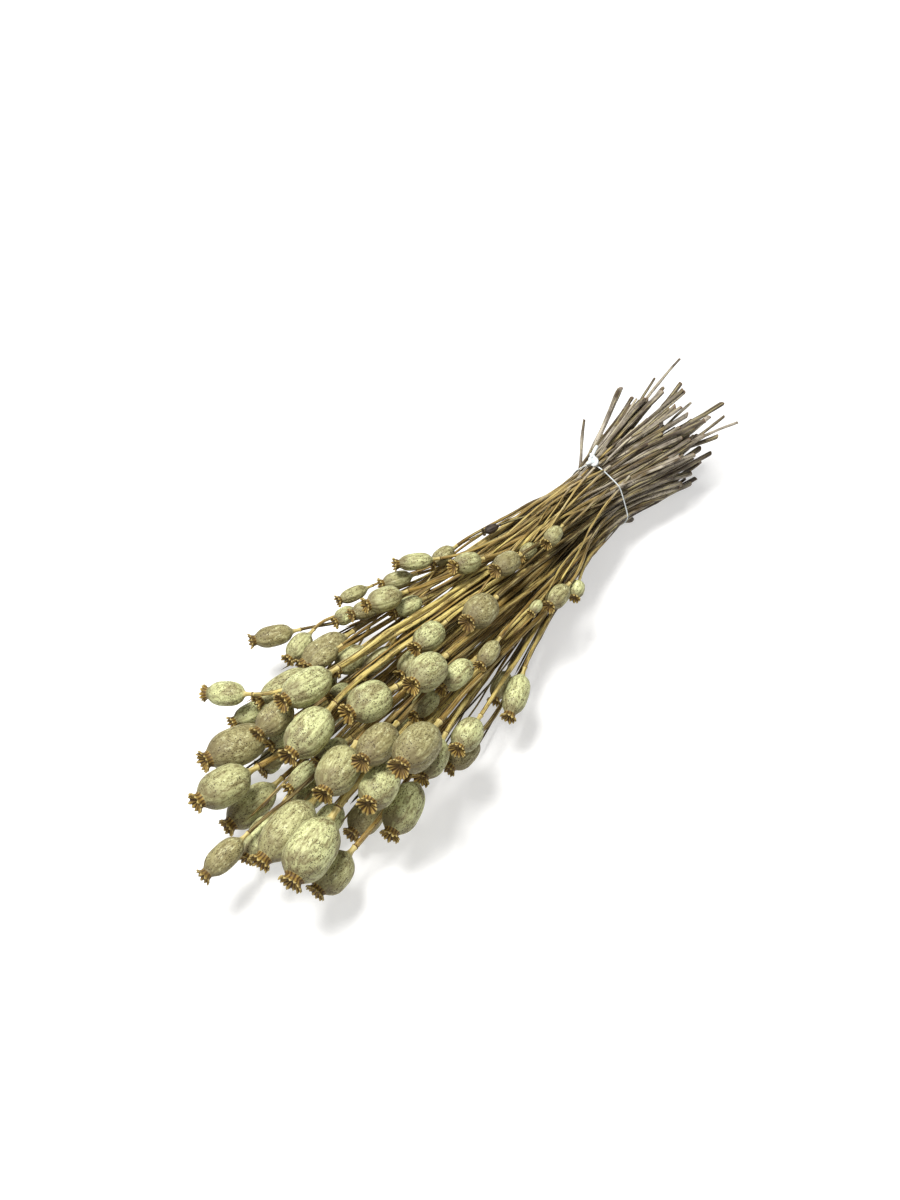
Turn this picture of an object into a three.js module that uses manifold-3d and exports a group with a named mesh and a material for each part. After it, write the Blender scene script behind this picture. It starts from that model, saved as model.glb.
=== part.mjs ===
// A dried bunch of poppy seed heads lying on a table, its stems held by one white elastic band.
// Millimetres, +Z up, +X towards the cut ends. The origin is the bottom centre of the bunch's box.

import * as THREE from 'three';
import { mergeVertices } from 'three/addons/utils/BufferGeometryUtils.js';
import Module from 'manifold-3d';

const wasm = await Module();
wasm.setup();

const { clamp, degToRad, lerp } = THREE.MathUtils;
const vec = (x, y, z) => new THREE.Vector3(x, y, z);

// Driving dimensions
const TIE_HEIGHT = 36;         // middle of the tie above the table
const TIE_RADIUS = 25;         // inside of the elastic band
const BAND_THICKNESS = 1.8;
const KNOT_RADIUS = 2.6;
const KNOT_TURN = degToRad(54);  // from the top of the tie, towards +Y
const KNOT_TAIL = 6.5;
const STEM_STATION = 48;       // spacing of the points along a stem
const STEM_SIDES = 5;
const STEM_RADIUS = { least: 1.2, share: 0.06 };  // at the tie: a least value, and a share of the capsule's
const NECK_RADIUS = { least: 0.4, share: 0.14 };  // under the capsule, likewise
const CROWN_RADIUS = { least: 3, share: 0.34, most: 0.92 };  // likewise, up to a share of the capsule's
const END_GROWTH = [1.1, 1.5]; // a cut end is thicker than the stem at the tie by this much
const CLEARANCE = 0.5;         // kept between any two pieces
const TIE_CLEARANCE = 1;       // kept inside the band
const HEAD_FLAT = 2;           // depth of the flat on a head that rests on the table
const STEM_FLAT = 0.9;         // depth of the flat on a cut end that rests on the table
const RIB_DEPTH = 0.07;        // groove between two ribs, as a share of the capsule's radius
const RAY_DEPTH = 0.3;         // notch between two rays, as a share of the crown's radius

// Outline of a head: share of the capsule's length past the neck, share of a radius
const COLLAR_OUTLINE = [[-0.19, 1.35], [-0.14, 1.1], [0, 1.3]];
const CAPSULE_WIDEST = 0.42;
const CAPSULE_END = 0.87;
const CAPSULE_OUTLINE = [[0.11, 0.66], [CAPSULE_WIDEST, 1], [0.72, 0.9], [CAPSULE_END, 0.5]];
const CROWN_OUTLINE = [[0.91, 0.74], [1, 1]];
const COLLAR_START = -0.24;
const CROWN_DISH = 0.94;

// The view in which the heads were read: a pinhole camera above the heads, in pixels of a 900 x 1200 frame
const VIEW_TURN = degToRad(48.8);
const VIEW_PITCH = degToRad(58);
const VIEW_FOCAL = 1400;
const VIEW_MIDDLE = [450, 600];
const TIE_PIXEL = [599, 498];
const TIE_DISTANCE = 1060;

// Heads as read: pixels of the neck and of the crown, capsule width, height of the neck, rise to the crown
const SEEN_HEADS = [
  { neck: [292, 632], crown: [250, 642], width: 16, height: 45, rise: 6 },
  { neck: [308, 634], crown: [286, 660], width: 16, height: 45 },
  { neck: [345, 637], crown: [300, 667], width: 21, height: 50, rise: 3 },
  { neck: [338, 648], crown: [310, 668], width: 13, height: 55, rise: 2 },
  { neck: [306, 671], crown: [256, 703], width: 17, height: 62, rise: 3 },
  { neck: [245, 694], crown: [205, 693], width: 18, height: 66, rise: -8 },
  { neck: [329, 674], crown: [281, 703], width: 24, height: 88, rise: 13 },
  { neck: [265, 706], crown: [229, 725], width: 15, height: 50, rise: 4 },
  { neck: [293, 702], crown: [260, 733], width: 21, height: 62, rise: 3 },
  { neck: [264, 735], crown: [200, 764], width: 28, height: 55, rise: 11 },
  { neck: [327, 712], crown: [288, 757], width: 28, height: 90, rise: 7 },
  { neck: [295, 727], crown: [269, 746], width: 15, height: 58, rise: 3 },
  { neck: [250, 769], crown: [198, 799], width: 27, height: 48, rise: 9 },
  { neck: [272, 788], crown: [225, 830], width: 24, height: 30, rise: 6 },
  { neck: [317, 763], crown: [288, 790], width: 15, height: 40, rise: 2 },
  { neck: [241, 840], crown: [203, 877], width: 18, height: 50, rise: 3 },
  { neck: [275, 815], crown: [247, 858], width: 20, height: 25 },
  { neck: [310, 805], crown: [259, 864], width: 29, height: 52, rise: 4 },
  { neck: [331, 818], crown: [292, 881], width: 33, height: 62, rise: 1 },
  { neck: [349, 853], crown: [316, 891], width: 26, height: 38, rise: 1 },
  { neck: [351, 751], crown: [322, 796], width: 28, height: 80, rise: 8 },
  { neck: [392, 730], crown: [361, 764], width: 24, height: 92, rise: 15 },
  { neck: [391, 770], crown: [366, 807], width: 25, height: 80, rise: 12 },
  { neck: [433, 727], crown: [399, 766], width: 28, height: 88, rise: 14 },
  { neck: [442, 740], crown: [421, 779], width: 21, height: 58, rise: 3 },
  { neck: [417, 782], crown: [390, 834], width: 25, height: 42, rise: 1 },
  { neck: [378, 803], crown: [351, 836], width: 23, height: 32, rise: 3 },
  { neck: [389, 690], crown: [348, 713], width: 27, height: 72, rise: 9 },
  { neck: [441, 660], crown: [411, 686], width: 25, height: 90, rise: 11 },
  { neck: [436, 692], crown: [413, 716], width: 16, height: 62, rise: 3 },
  { neck: [470, 662], crown: [440, 688], width: 18, height: 66, rise: 4 },
  { neck: [497, 642], crown: [480, 666], width: 13, height: 84, rise: 2 },
  { neck: [477, 721], crown: [457, 750], width: 20, height: 68, rise: 7 },
  { neck: [476, 738], crown: [448, 769], width: 20, height: 42, rise: 1 },
  { neck: [522, 675], crown: [508, 717], width: 18, height: 42 },
  { neck: [507, 672], crown: [494, 701], width: 14, height: 32 },
  { neck: [492, 601], crown: [467, 623], width: 23, height: 88, rise: 9 },
  { neck: [517, 557], crown: [495, 571], width: 17, height: 82, rise: 8 },
  { neck: [479, 560], crown: [453, 567], width: 16, height: 72, rise: 11 },
  { neck: [433, 560], crown: [396, 565], width: 13, height: 50, rise: 5 },
  { neck: [412, 576], crown: [381, 585], width: 13, height: 45, rise: 4 },
  { neck: [367, 588], crown: [338, 601], width: 11, height: 45, rise: 3 },
  { neck: [402, 594], crown: [367, 606], width: 18, height: 66, rise: 5 },
  { neck: [378, 605], crown: [351, 615], width: 14, height: 58, rise: 4 },
  { neck: [355, 609], crown: [335, 622], width: 13, height: 45, rise: 1 },
  { neck: [421, 600], crown: [393, 613], width: 14, height: 60, rise: 3 },
  { neck: [441, 626], crown: [415, 649], width: 19, height: 72, rise: 6 },
  { neck: [417, 651], crown: [400, 675], width: 14, height: 56 },
  { neck: [393, 649], crown: [362, 674], width: 15, height: 58, rise: 3 },
  { neck: [453, 549], crown: [432, 565], width: 13, height: 48 },
  { neck: [560, 528], crown: [546, 544], width: 12, height: 78, rise: 3 },
  { neck: [566, 586], crown: [548, 606], width: 15, height: 68, rise: 4 },
  { neck: [579, 581], crown: [574, 598], width: 12, height: 58 },
  { neck: [541, 602], crown: [532, 614], width: 8, height: 74 },
  { neck: [498, 526], crown: [484, 532], width: 7, height: 58, rise: 1 },
  { neck: [346, 741], crown: [317, 763], width: 16, height: 52, rise: 2 },
];

// Heads under the pile, which carry it: places measured from the tie
const HIDDEN_HEADS = [
  { x: -205, y: -24, width: 24, length: 34 },
  { x: -240, y: 40, width: 23, length: 33 },
  { x: -292, y: 6, width: 25, length: 36 },
];

// Cut ends as read: pixel, height and radius of the stem there
const THICK_END = 2.8;
const THIN_END = 1.3;
const SEEN_ENDS = [
  { pixel: [586, 419], height: 45, radius: THIN_END },
  { pixel: [620, 389], height: 40, radius: THICK_END },
  { pixel: [631, 405], height: 50, radius: THICK_END },
  { pixel: [645, 399], height: 60, radius: 2.6 },
  { pixel: [654, 378], height: 50, radius: THIN_END },
  { pixel: [680, 358], height: 55, radius: THIN_END },
  { pixel: [681, 384], height: 62, radius: 2.4 },
  { pixel: [661, 391], height: 66, radius: 2.8 },
  { pixel: [691, 403], height: 60, radius: THIN_END },
  { pixel: [676, 408], height: 70, radius: THICK_END },
  { pixel: [722, 404], height: 66, radius: 2.2 },
  { pixel: [724, 416], height: 60, radius: THIN_END },
  { pixel: [738, 423], height: 55, radius: THIN_END },
  { pixel: [710, 417], height: 50, radius: 2.6 },
  { pixel: [711, 453], height: 40, radius: 2 },
  { pixel: [695, 478], height: 30, radius: 3 },
  { pixel: [690, 418], height: 70, radius: 2.6 },
  { pixel: [700, 448], height: 50, radius: 2.6 },
  { pixel: [715, 434], height: 58, radius: 2.2 },
  { pixel: [688, 470], height: 36, radius: 2.4 },
  { pixel: [632, 518], height: 4, radius: 2.8 },
  { pixel: [668, 490], height: 4, radius: 2.8 },
  { pixel: [648, 500], height: 16, radius: 2.4 },
];

// Shape of the bunch as a whole
const HEAD_MIDDLE = 46;          // height of the bunch's middle among the heads
const HEAD_HALF_WIDTH = 68;
const HEAD_HALF_HEIGHT = 42;
const TWIST = degToRad(60);      // a stem goes round the bunch by this much on its way to the tie
const TWIST_RUN = 220;           // the run from head to tie that takes the whole twist
const BUNCH_FAN = 0.2;           // spread of the stems per length before the tie
const TAIL_MIDDLE = 40;
const TAIL_LEAN = -0.09;         // sideways drift of the cut ends per length past the tie
const TAIL_FAN = 0.2;            // spread of the cut ends per length past the tie
const LEAST_OUT = 0.25;          // no cut end is nearer to the middle than this share of the way out
const TAIL_SLANT = 0.4;          // how much shorter the outermost cut ends are on the -Y side
const TAIL_SHORTEST = 72;
const TAIL_LONGEST = 122;
const TAIL_RESTS_BELOW = 9;      // cut ends planned lower than this lie on the table

// A seeded stream of numbers from 0 to 1
function seededRandom(seed) {
  let state = seed;
  return () => {
    state = (state + 0x6d2b79f5) | 0;
    let mixed = Math.imul(state ^ (state >>> 15), 1 | state);
    mixed = (mixed + Math.imul(mixed ^ (mixed >>> 7), 61 | mixed)) ^ mixed;
    return ((mixed ^ (mixed >>> 14)) >>> 0) / 4294967296;
  };
}
const random = seededRandom(59);
const between = (low, high) => lerp(low, high, random());

// The view's directions and its point, measured from the table under the tie
const viewForward = vec(
  Math.sin(VIEW_TURN) * Math.cos(VIEW_PITCH),
  Math.cos(VIEW_TURN) * Math.cos(VIEW_PITCH),
  -Math.sin(VIEW_PITCH),
);
const viewRight = vec(Math.cos(VIEW_TURN), -Math.sin(VIEW_TURN), 0);
const viewUp = viewRight.clone().cross(viewForward);
const tieMiddle = vec(0, 0, TIE_HEIGHT);
const viewPoint = tieMiddle.clone().addScaledVector(viewRay(TIE_PIXEL), -TIE_DISTANCE);

// Direction of a pixel, one unit deep
function viewRay([across, down]) {
  return viewForward.clone()
    .addScaledVector(viewRight, (across - VIEW_MIDDLE[0]) / VIEW_FOCAL)
    .addScaledVector(viewUp, (VIEW_MIDDLE[1] - down) / VIEW_FOCAL);
}

// The point that shows at a pixel and lies at a height above the table
function pointAt(pixel, height) {
  const ray = viewRay(pixel);
  return viewPoint.clone().addScaledVector(ray, (height - viewPoint.z) / ray.z);
}

// Place and size of a head, before the heads are moved apart
function seenHead({ neck, crown, width, height, rise = 0 }) {
  const start = pointAt(neck, height);
  const axis = pointAt(crown, height + rise).sub(start);
  return { neck: start, axis, radius: width / 2, rests: false };
}

function hiddenHead({ x, y, width, length }) {
  const radius = width / 2;
  return { neck: vec(x, y, radius - HEAD_FLAT), axis: vec(-length, 0, 0), radius, rests: true };
}

// Where a head lies in the bunch's section: turn from the top towards +Y, and share of the way out
function bunchPlace(neck) {
  const across = neck.y / HEAD_HALF_WIDTH;
  const up = (neck.z - HEAD_MIDDLE) / HEAD_HALF_HEIGHT;
  const twist = TWIST * clamp(-neck.x / TWIST_RUN, 0, 1);
  return { turn: Math.atan2(across, up), out: Math.min(1, Math.hypot(across, up)), twist };
}

// Where a stem passes the tie, and where its cut end is planned
function tieSlot({ turn, out, twist }, radius) {
  const reach = out * (TIE_RADIUS - radius);
  return vec(0, reach * Math.sin(turn - twist), TIE_HEIGHT + reach * Math.cos(turn - twist));
}

function plannedEnd({ turn, out, twist }) {
  const turned = turn - 2 * twist;
  const spread = Math.max(out, LEAST_OUT);
  const slant = 1 + TAIL_SLANT * spread * Math.min(Math.sin(turned), 0);
  const x = between(TAIL_SHORTEST, TAIL_LONGEST) * slant;
  const reach = spread * (TIE_RADIUS + TAIL_FAN * x);
  return vec(x, TAIL_LEAN * x + reach * Math.sin(turned), TAIL_MIDDLE + reach * Math.cos(turned));
}

// A poppy: its head, and the points of its stem from the cut end to the collar under the capsule
function makePoppy(head) {
  const length = head.axis.length();
  const axis = head.axis.clone().normalize();
  const place = bunchPlace(head.neck);
  const tieRadius = STEM_RADIUS.least + STEM_RADIUS.share * head.radius;
  return {
    ...head,
    axis,
    length,
    home: head.neck.clone(),
    neckRadius: NECK_RADIUS.least + NECK_RADIUS.share * head.radius,
    crownRadius: crownRadius(head.radius),
    tieRadius,
    endRadius: tieRadius * between(...END_GROWTH),
    slot: tieSlot(place, tieRadius),
    end: plannedEnd(place),
  };
}

function crownRadius(radius) {
  return Math.min(CROWN_RADIUS.least + CROWN_RADIUS.share * radius, CROWN_RADIUS.most * radius);
}

// Gives each cut end that was read to the stem whose planned end is nearest to it
function shareSeenEnds(poppies) {
  const open = new Set(poppies);
  for (const { pixel, height, radius } of SEEN_ENDS) {
    const end = pointAt(pixel, height);
    let nearest = null;
    for (const poppy of open) {
      const away = Math.hypot(poppy.end.y - end.y, poppy.end.z - end.z);
      if (!nearest || away < nearest.away) nearest = { poppy, away };
    }
    nearest.poppy.end = end;
    nearest.poppy.endRadius = radius;
    open.delete(nearest.poppy);
  }
}

// Lays the stem from the cut end, straight to the tie, and in a curve to the collar
function layStem(poppy) {
  const { axis, length, neck, slot, end } = poppy;
  const collar = neck.clone().addScaledVector(axis, COLLAR_START * length);
  const run = collar.distanceTo(slot);
  const tail = end.distanceTo(slot);
  const headSteps = Math.max(1, Math.round(run / STEM_STATION));
  const tailSteps = Math.max(1, Math.round(tail / STEM_STATION));
  const heading = collar.clone().sub(end).setLength(run / 3);
  const curve = new THREE.CubicBezierCurve3(
    slot,
    slot.clone().add(heading),
    collar.clone().addScaledVector(axis, -run / 3),
    collar,
  );
  poppy.points = [];
  poppy.radii = [];
  for (let step = 0; step < tailSteps; step += 1) {
    poppy.points.push(end.clone().lerp(slot, step / tailSteps));
    poppy.radii.push(lerp(poppy.endRadius, poppy.tieRadius, step / tailSteps));
  }
  poppy.tieIndex = tailSteps;
  for (let step = 0; step <= headSteps; step += 1) {
    poppy.points.push(curve.getPoint(step / headSteps));
    poppy.radii.push(lerp(poppy.tieRadius, poppy.neckRadius, step / headSteps));
  }
  poppy.collar = poppy.points.at(-1);
  poppy.endRests = end.z < TAIL_RESTS_BELOW;
  addBones(poppy);
}

// Round bars that stand for a poppy while the bunch is sorted out
function addBones(poppy) {
  const { points, radii, neck, axis, length, radius, neckRadius, crownRadius } = poppy;
  const along = (reach) => neck.clone().addScaledVector(axis, reach);
  const shoulder = along(Math.min(radius, CAPSULE_WIDEST * length));
  const hip = along(Math.max(CAPSULE_END * length - 0.9 * radius, 0.5 * length));
  const crown = along(length - 0.25 * crownRadius);
  poppy.headPoints = [poppy.collar, neck, shoulder, hip, crown];
  poppy.belly = [shoulder, hip];
  poppy.bones = [];
  for (let index = 1; index < points.length; index += 1) {
    const before = index - 1;
    poppy.bones.push(makeBone(poppy, before, points[before], points[index], radii[before], radii[index]));
  }
  const headBone = (from, to, girth) => makeBone(poppy, null, from, to, girth, girth);
  poppy.bones.push(headBone(poppy.collar, shoulder, 1.5 * neckRadius));
  poppy.bones.push(headBone(shoulder, hip, radius));
  poppy.bones.push(headBone(hip, crown, 1.04 * crownRadius));
}

function makeBone(poppy, index, from, to, fromRadius, toRadius) {
  return { poppy, index, from, to, fromRadius, toRadius, isHead: index === null, box: new THREE.Box3() };
}

// Nearest points of two bars, as shares of their lengths
function nearestShares(first, second) {
  const along = first.to.clone().sub(first.from);
  const across = second.to.clone().sub(second.from);
  const apart = first.from.clone().sub(second.from);
  const a = along.lengthSq();
  const e = across.lengthSq();
  const b = along.dot(across);
  const c = along.dot(apart);
  const f = across.dot(apart);
  const spread = a * e - b * b;
  let s = spread > 1e-6 ? clamp((b * f - c * e) / spread, 0, 1) : 0.5;
  let t = (b * s + f) / e;
  if (t < 0 || t > 1) {
    t = clamp(t, 0, 1);
    s = clamp((b * t - c) / a, 0, 1);
  }
  return [s, t];
}

// Moves a head: freely along the line of sight, a little across it
const ACROSS_VIEW = 0.3;
function moveHead(poppy, push) {
  const deep = push.dot(viewForward);
  const across = push.clone().multiplyScalar(ACROSS_VIEW);
  shiftHead(poppy, across.addScaledVector(viewForward, deep * (1 - ACROSS_VIEW)));
}

function shiftHead(poppy, move) {
  for (const point of poppy.headPoints) point.add(move);
}

// Moves a bar at a share of its length. A stem's points keep their X, and its collar goes with the head.
const HEAD_GIVE = 0.25;
function moveBone(bone, share, push) {
  const { poppy, index } = bone;
  if (!poppy) return;
  if (bone.isHead) {
    moveHead(poppy, push);
    return;
  }
  const even = (1 - share) ** 2 + share ** 2;
  const ends = [[index, (1 - share) / even], [index + 1, share / even]];
  for (const [place, part] of ends) {
    const point = poppy.points[place];
    if (point === poppy.collar) {
      moveHead(poppy, push.clone().multiplyScalar(part * HEAD_GIVE));
    } else {
      point.y += push.y * part;
      point.z += push.z * part;
    }
  }
}

const girthAt = (bone, share) => lerp(bone.fromRadius, bone.toRadius, share);

// Pushes two bars apart where they are too close, a stem under a head rather than over it
function separate(first, second, sink) {
  const [s, t] = nearestShares(first, second);
  const push = first.from.clone().lerp(first.to, s).sub(second.from.clone().lerp(second.to, t));
  const reach = girthAt(first, s) + girthAt(second, t) + CLEARANCE;
  const distance = push.length();
  if (distance >= reach) return;
  if (first.isHead !== second.isHead) push.z += (first.isHead ? sink : -sink) * reach;
  push.setLength(reach - distance);
  const give = (bone) => (bone.poppy ? (bone.isHead ? HEAD_GIVE : 1) : 0);
  const firstShare = give(first) / (give(first) + give(second));
  moveBone(first, s, push.clone().multiplyScalar(firstShare));
  moveBone(second, t, push.multiplyScalar(firstShare - 1));
}

// Draws each head back to where it was read, and each stem towards a smooth line
const PULL = { across: 0.2, deep: 0.01, smooth: 0.25, lead: 0.08 };
function settle(poppy, strength) {
  const { points, collar, axis, length, neck, home } = poppy;
  const back = home.clone().sub(neck);
  const deep = back.dot(viewForward);
  back.addScaledVector(viewForward, -deep).multiplyScalar(PULL.across * strength);
  shiftHead(poppy, back.addScaledVector(viewForward, PULL.deep * strength * deep));
  for (let index = 1; index < points.length - 1; index += 1) {
    const [before, point, after] = [points[index - 1], points[index], points[index + 1]];
    const share = (point.x - before.x) / (after.x - before.x);
    const pull = PULL.smooth * strength;
    point.y = lerp(point.y, lerp(before.y, after.y, share), pull);
    point.z = lerp(point.z, lerp(before.z, after.z, share), pull);
  }
  const next = points.at(-2);
  const straight = (next.x - collar.x) / axis.x;
  const lead = PULL.lead * strength;
  next.y = lerp(next.y, collar.y + axis.y * straight, lead);
  next.z = lerp(next.z, collar.z + axis.z * straight, lead);
  points[0].y = lerp(points[0].y, poppy.end.y, lead);
  points[0].z = lerp(points[0].z, poppy.end.z, lead);
}

// Keeps a poppy inside the band and on the table
function confine(poppy) {
  const { points, radii, tieIndex, belly, radius } = poppy;
  for (let index = tieIndex; index < points.length - 1; index += 1) {
    const point = points[index];
    const middle = lerp(TIE_HEIGHT, HEAD_MIDDLE, clamp(-point.x / TWIST_RUN, 0, 1));
    const limit = TIE_RADIUS - radii[index] - TIE_CLEARANCE - BUNCH_FAN * point.x;
    const out = Math.hypot(point.y, point.z - middle);
    if (out > limit) {
      point.y *= limit / out;
      point.z = middle + (point.z - middle) * limit / out;
    }
  }
  for (let index = 0; index < points.length - 1; index += 1) {
    points[index].z = Math.max(points[index].z, radii[index] + CLEARANCE);
  }
  if (poppy.endRests) points[0].z = radii[0] - STEM_FLAT;
  const low = Math.min(belly[0].z, belly[1].z) - radius;
  if (poppy.rests) shiftHead(poppy, vec(0, 0, -HEAD_FLAT - low));
  else if (low < CLEARANCE) shiftHead(poppy, vec(0, 0, CLEARANCE - low));
}

// Sorts the bunch out until no two poppies touch
const SORTING_ROUNDS = 420;
const FREE_ROUNDS = 140;         // the last rounds only push apart
const SINK = 0.5;                // how strongly a stem is sent under a head that it meets
function sortOut(poppies, fixedBones) {
  const bones = fixedBones.concat(poppies.flatMap((poppy) => poppy.bones));
  for (let round = 0; round < SORTING_ROUNDS; round += 1) {
    const strength = Math.max(0, 1 - round / (SORTING_ROUNDS - FREE_ROUNDS));
    for (const poppy of poppies) {
      if (strength > 0) settle(poppy, strength);
      confine(poppy);
    }
    for (const bone of bones) {
      bone.box.setFromPoints([bone.from, bone.to]);
      bone.box.expandByScalar(Math.max(bone.fromRadius, bone.toRadius) + CLEARANCE);
    }
    bones.sort((one, other) => one.box.min.x - other.box.min.x);
    separateAll(bones, SINK * strength);
  }
  poppies.forEach(confine);
}

function separateAll(bones, sink) {
  for (let one = 0; one < bones.length; one += 1) {
    const first = bones[one];
    for (let other = one + 1; other < bones.length; other += 1) {
      const second = bones[other];
      if (second.box.min.x > first.box.max.x) break;
      if (first.poppy === second.poppy || !first.box.intersectsBox(second.box)) continue;
      separate(first, second, sink);
    }
  }
}

// Ring of points round a centre, one for each radius, in the plane of the frame's first two directions
function makeRing(centre, [side, front], radii) {
  return radii.map((radius, index) => {
    const turn = (2 * Math.PI * index) / radii.length;
    return centre.clone()
      .addScaledVector(side, radius * Math.cos(turn))
      .addScaledVector(front, radius * Math.sin(turn));
  });
}

// Closed solid through a row of rings, with its two ends closed round a middle point
function loftRings(rings, firstMiddle, lastMiddle) {
  const points = rings.flat().concat(firstMiddle, lastMiddle);
  const numbers = [];
  let start = 0;
  for (const ring of rings) {
    numbers.push(ring.map((_, index) => start + index));
    start += ring.length;
  }
  const faces = [];
  for (let index = 1; index < rings.length; index += 1) stitch(faces, numbers[index - 1], numbers[index]);
  closeEnd(faces, numbers[0].toReversed(), points.length - 2);
  closeEnd(faces, numbers.at(-1), points.length - 1);
  const geometry = new THREE.BufferGeometry().setFromPoints(points);
  geometry.setIndex(faces);
  return geometry;
}

function closeEnd(faces, ring, middle) {
  ring.forEach((number, index) => faces.push(middle, number, ring[(index + 1) % ring.length]));
}

// Strip of triangles between two rings, whose counts may differ
function stitch(faces, lower, upper) {
  let low = 0;
  let high = 0;
  while (low < lower.length || high < upper.length) {
    const corner = lower[low % lower.length];
    const tip = upper[high % upper.length];
    const lowNext = (low + 1) / lower.length;
    const highNext = (high + 1) / upper.length;
    if (high === upper.length || (low < lower.length && lowNext <= highNext)) {
      low += 1;
      faces.push(corner, lower[low % lower.length], tip);
    } else {
      high += 1;
      faces.push(corner, upper[high % upper.length], tip);
    }
  }
}

// One poppy as a single solid: stem, collar, ribbed capsule and rayed crown
function poppyGeometry(poppy) {
  const { points, radii, neck, axis, length, radius, neckRadius, crownRadius } = poppy;
  const along = (share) => neck.clone().addScaledVector(axis, share * length);
  const even = (girth) => Array(STEM_SIDES).fill(girth);
  const ribs = ribCount(radius);
  const notched = (girth, depth) => Array(ribs).fill([girth, girth * (1 - depth)]).flat();
  const rings = [];
  let side = vec(0, 0, 1);
  points.forEach((point, index) => {
    const before = points[Math.max(index - 1, 0)];
    const tangent = index === points.length - 1 ? axis : points[index + 1].clone().sub(before).normalize();
    side = side.clone().addScaledVector(tangent, -side.dot(tangent)).normalize();
    rings.push(makeRing(point, [side, tangent.clone().cross(side)], even(radii[index])));
  });
  const frame = [side, axis.clone().cross(side)];
  for (const [share, girth] of COLLAR_OUTLINE) {
    rings.push(makeRing(along(share), frame, even(girth * neckRadius)));
  }
  for (const [share, girth] of CAPSULE_OUTLINE) {
    rings.push(makeRing(along(share), frame, notched(girth * radius, RIB_DEPTH)));
  }
  for (const [share, girth] of CROWN_OUTLINE) {
    rings.push(makeRing(along(share), frame, notched(girth * crownRadius, RAY_DEPTH)));
  }
  return loftRings(rings, points[0].clone(), along(CROWN_DISH));
}

function ribCount(radius) {
  if (radius < 8) return 6;
  return radius < 13 ? 7 : 8;
}

// Solids for cutting and joining
function toSolid(geometry) {
  const bare = geometry.clone();
  bare.deleteAttribute('normal');
  bare.deleteAttribute('uv');
  const merged = mergeVertices(bare);
  return new wasm.Manifold(new wasm.Mesh({
    numProp: 3,
    vertProperties: new Float32Array(merged.attributes.position.array),
    triVerts: new Uint32Array(merged.index.array),
  }));
}

function toGeometry(solid) {
  const { vertProperties, triVerts } = solid.getMesh();
  const geometry = new THREE.BufferGeometry();
  geometry.setAttribute('position', new THREE.BufferAttribute(vertProperties, 3));
  geometry.setIndex(new THREE.BufferAttribute(triVerts, 1));
  return geometry;
}

// Flattens what would reach below the table
const TABLE_SIZE = [1200, 600, 40];
function restOnTable(geometry) {
  geometry.computeBoundingBox();
  if (geometry.boundingBox.min.z >= 0) return geometry;
  const table = new THREE.BoxGeometry(...TABLE_SIZE).translate(0, 0, -TABLE_SIZE[2] / 2);
  return toGeometry(toSolid(geometry).subtract(toSolid(table)));
}

// The knot's place on the band, and the two short tails that leave it
const knotOut = vec(0, Math.sin(KNOT_TURN), Math.cos(KNOT_TURN));
const knotReach = TIE_RADIUS + BAND_THICKNESS + 0.6 * KNOT_RADIUS;
const knotMiddle = tieMiddle.clone().addScaledVector(knotOut, knotReach);
const tailEnds = [[-0.75, 0.25], [0.35, 0.9]].map(([along, out]) => {
  const heading = vec(along, 0, 0).addScaledVector(knotOut, out).normalize();
  return knotMiddle.clone().addScaledVector(heading, KNOT_TAIL);
});

function bandGeometry() {
  const thick = BAND_THICKNESS / 2;
  const ring = new THREE.TorusGeometry(TIE_RADIUS + thick, thick, 6, 40);
  ring.rotateY(Math.PI / 2).translate(0, 0, TIE_HEIGHT);
  const knot = new THREE.SphereGeometry(KNOT_RADIUS, 10, 6);
  knot.rotateX(-KNOT_TURN).translate(...knotMiddle);
  let band = toSolid(ring).add(toSolid(knot));
  for (const end of tailEnds) {
    const path = new THREE.LineCurve3(knotMiddle, end);
    const section = new THREE.Shape().absarc(0, 0, thick, 0, 2 * Math.PI);
    const tail = new THREE.ExtrudeGeometry(section, { steps: 1, curveSegments: 6, extrudePath: path });
    band = band.add(toSolid(tail));
  }
  return toGeometry(band);
}

function bandBones() {
  return tailEnds.map((end) => makeBone(null, null, knotMiddle, end, KNOT_RADIUS, BAND_THICKNESS));
}

// Looks: dry greenish straw, each poppy a little different, and white rubber
function poppyMaterial() {
  const color = new THREE.Color().setHSL(between(0.12, 0.16), between(0.2, 0.34), between(0.48, 0.6));
  return new THREE.MeshStandardMaterial({ color, roughness: 0.85, metalness: 0 });
}

function addMesh(group, name, geometry, material) {
  const mesh = new THREE.Mesh(geometry, material);
  mesh.name = name;
  group.add(mesh);
}

// The bunch
const poppies = SEEN_HEADS.map(seenHead).concat(HIDDEN_HEADS.map(hiddenHead)).map(makePoppy);
shareSeenEnds(poppies);
poppies.forEach(layStem);
sortOut(poppies, bandBones());

const bunch = new THREE.Group();
poppies.forEach((poppy, index) => {
  const name = `poppy_${String(index + 1).padStart(2, '0')}`;
  addMesh(bunch, name, restOnTable(poppyGeometry(poppy)), poppyMaterial());
});
const rubber = new THREE.MeshStandardMaterial({ color: 0xeeeee8, roughness: 0.6, metalness: 0 });
addMesh(bunch, 'elastic_band', bandGeometry(), rubber);

const middle = new THREE.Box3().setFromObject(bunch).getCenter(vec(0, 0, 0));
bunch.position.set(-middle.x, -middle.y, 0);
bunch.updateMatrixWorld(true);

export default bunch;
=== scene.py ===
# Looks of a dried bunch of poppy seed heads: fine heads and stems, elastic band, floor, light and camera.

import math

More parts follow.
